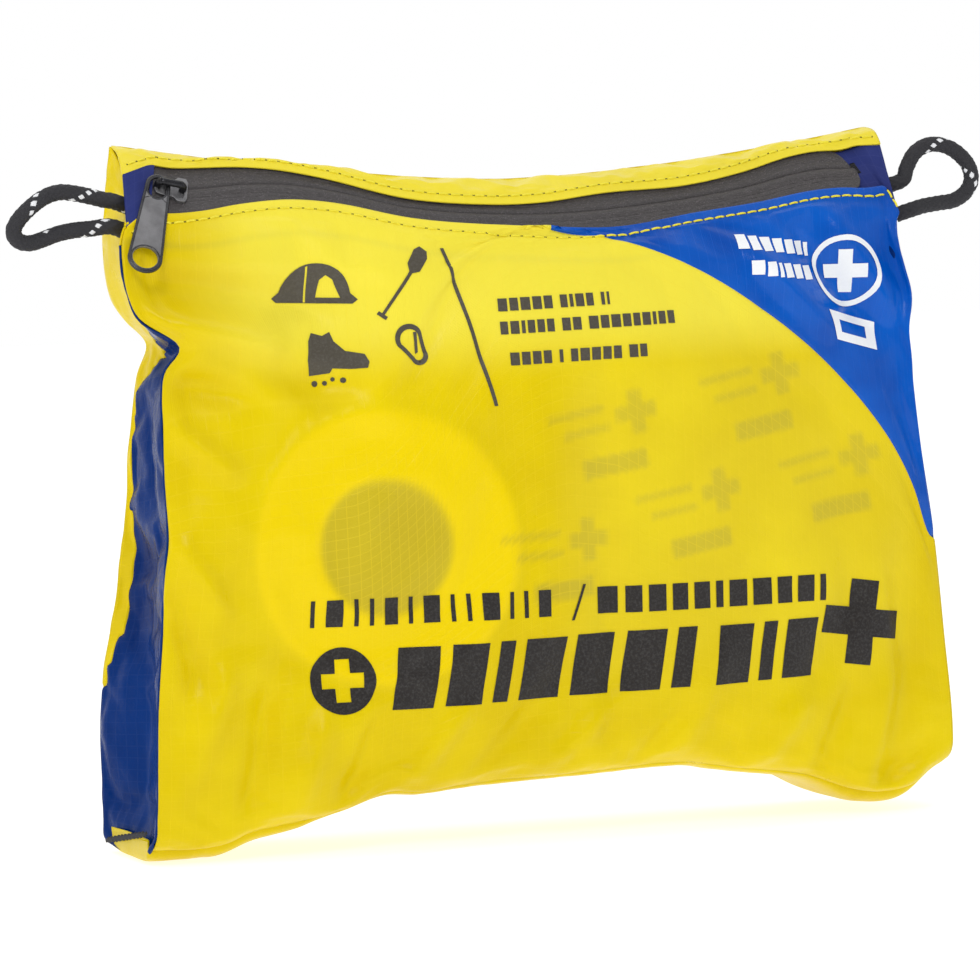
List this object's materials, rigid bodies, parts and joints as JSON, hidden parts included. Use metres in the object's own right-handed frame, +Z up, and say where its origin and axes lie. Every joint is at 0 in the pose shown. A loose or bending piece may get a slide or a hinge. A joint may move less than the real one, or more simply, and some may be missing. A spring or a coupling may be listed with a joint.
{
  "type": "first aid kit",
  "caption": "Soft zip-top first aid pouch with side gussets, a watertight zipper, slider and pull, cord lash loops and packed dressings and tools inside.",
  "frame": {"origin": "bottom centre of the standing pouch's box, without its cord loops", "axes": "+Z up, the printed front with the zipper faces -Y, +X to the right of someone facing the front"},
  "size_m": [0.2666, 0.0481, 0.179],
  "materials": {
    "yellow_nylon": "satin, silicone-coated ripstop",
    "blue_nylon": "glossy, silicone-coated ripstop",
    "navy_nylon": "matt",
    "zipper_tape": "matt, polyurethane-coated",
    "gunmetal": "satin, dark plated",
    "black_cord": "braided",
    "white_tape": "matt cloth tape",
    "clear_film": "clear film",
    "gauze": "matt",
    "card": "paper card",
    "tan_plaster": "matt",
    "foil": "foil laminate",
    "blue_glove": "matt nitrile",
    "steel": "polished",
    "silver_tape": "satin"
  },
  "bodies": {
    "pouch": {"adhesive_strips_large": "tan_plaster", "adhesive_strips_small": "tan_plaster", "antiseptic_wipe_1": "foil", "antiseptic_wipe_2": "foil", "antiseptic_wipe_3": "foil", "back_panel": "yellow_nylon", "bottom_panel": "yellow_nylon", "cord_loop_left": "black_cord", "cord_loop_right": "black_cord", "corner_panel": "blue_nylon", "end_tab_left": "navy_nylon", "end_tab_right": "navy_nylon", "front_panel": "yellow_nylon", "gauze_pad_1": "gauze", "gauze_pad_2": "gauze", "gauze_pad_3": "gauze", "glove_pack": "blue_glove", "info_card": "card", "inner_bag_back": "clear_film", "inner_bag_front": "clear_film", "inner_bag_seal": "clear_film", "knuckle_plasters": "tan_plaster", "medication_packet_1": "foil", "medication_packet_2": "foil", "moleskin_sheet": "tan_plaster", "ointment_sachet_1": "foil", "ointment_sachet_2": "foil", "repair_tape_core": "card", "repair_tape_roll": "silver_tape", "roller_bandage": "gauze", "safety_pin_1": "steel", "safety_pin_2": "steel", "seam_binding_left": "navy_nylon", "seam_binding_right": "navy_nylon", "side_gusset_left": "blue_nylon", "side_gusset_right": "blue_nylon", "tape_core": "card", "tape_roll": "white_tape", "top_facing": "yellow_nylon", "tweezers_arm_lower": "steel", "zipper_coil_lower": "zipper_tape", "zipper_coil_upper": "zipper_tape", "zipper_stop_left": "gunmetal", "zipper_stop_right": "gunmetal", "zipper_tape_lower": "zipper_tape", "zipper_tape_upper": "zipper_tape"},
    "slider": {"slider_body": "gunmetal", "slider_crown": "gunmetal"},
    "pull": {"pull_tab": "gunmetal"},
    "tweezers_arm": {"tweezers_arm_upper": "steel"}
  },
  "joints": [
    {"name": "slider_travel", "type": "hinge", "parent": "pouch", "child": "slider", "pos_m": [0, 0.21057, 0.42027], "axis": [0, -0.766, 0.6428], "range_deg": [0, 31.6]},
    {"name": "pull_swing", "type": "hinge", "parent": "slider", "child": "pull", "pos_m": [-0.09322, -0.00524, 0.17132], "axis": [-0.9622, 0.175, 0.2086], "range_deg": [0, 30]},
    {"name": "tweezers_pinch", "type": "hinge", "parent": "pouch", "child": "tweezers_arm", "pos_m": [-0.068, -0.002, 0.0228], "axis": [0, 1, 0], "range_deg": [0, 5], "stiffness_Nm_per_rad": 0.5}
  ]
}
